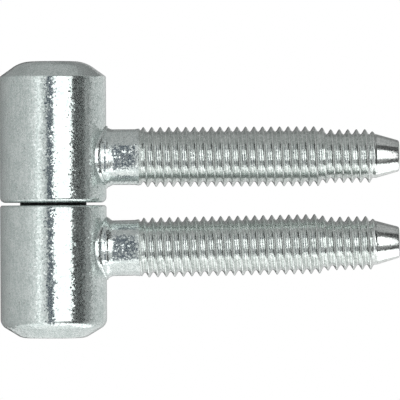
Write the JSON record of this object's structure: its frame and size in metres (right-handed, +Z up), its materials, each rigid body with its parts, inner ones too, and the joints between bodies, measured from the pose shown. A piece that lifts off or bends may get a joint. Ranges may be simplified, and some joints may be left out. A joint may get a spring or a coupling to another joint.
{
  "type": "drill-in hinge",
  "caption": "Lift-off drill-in door hinge: bevelled round knuckles turning on a hidden pin with a thin bearing washer, each knuckle with a welded threaded stud that screws into the frame or the door.",
  "frame": {"origin": "on the frame stud's axis, where its plain neck ends and its thread begins: the plane of the frame's face when the thread is sunk", "axes": "+X along both studs towards their tips, into the frame; +Z up along the hinge axis, the way the door half lifts off; +Y across the hinge"},
  "size_m": [0.06, 0.016, 0.0415],
  "materials": {
    "zinc_steel": "bright zinc plated, fine grain",
    "bright_steel": "ground and greased",
    "black_nylon": "moulded, matt"
  },
  "bodies": {
    "frame_half": {"lower_knuckle": "zinc_steel", "lower_stud": "zinc_steel", "hinge_pin": "bright_steel"},
    "bearing": {"washer": "black_nylon"},
    "door_half": {"upper_knuckle": "zinc_steel", "upper_stud": "zinc_steel"}
  },
  "joints": [
    {"name": "swing", "type": "hinge", "parent": "frame_half", "child": "bearing", "pos_m": [-0.0129, 0, 0.0065], "axis": [0, 0, 1], "continuous": true},
    {"name": "lift_off", "type": "slide", "parent": "bearing", "child": "door_half", "axis": [0, 0, 1], "range_m": [0, 0.0165]}
  ]
}
